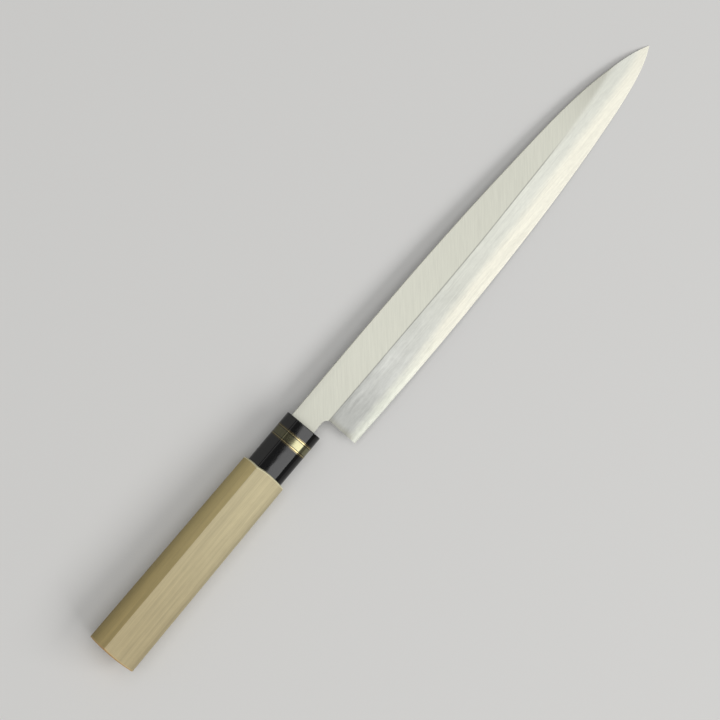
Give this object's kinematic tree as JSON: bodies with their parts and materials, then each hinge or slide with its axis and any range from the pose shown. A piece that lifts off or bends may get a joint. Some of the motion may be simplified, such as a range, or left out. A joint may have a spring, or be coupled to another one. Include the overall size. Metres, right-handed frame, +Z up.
{
  "type": "kitchen knife",
  "caption": "Long single-bevel slicing knife with a ridged oval wooden handle, a black ferrule with a gold band, and a laminated blade hollowed on its back.",
  "frame": {"origin": "middle of the knife's box, on the surface that it lies on", "axes": "+X from the butt to the tip, +Y from the cutting edge to the spine, +Z up from the surface, with the bevelled front of the blade facing up"},
  "size_m": [0.3908, 0.0382, 0.0231],
  "materials": {
    "soft_iron": "fine satin",
    "hard_steel": "bright satin",
    "magnolia_wood": "bare sanded wood",
    "black_horn": "polished",
    "gold": "polished",
    "resin": "dull"
  },
  "bodies": {
    "root": {"blade_soft_iron": "soft_iron", "blade_hard_steel": "hard_steel", "handle_wood": "magnolia_wood", "ferrule": "black_horn", "band_foil": "gold", "band_line_rear": "gold", "band_line_front": "gold", "band_fine_line_rear": "gold", "band_fine_line_front": "gold", "tang_resin": "resin"}
  },
  "joints": []
}
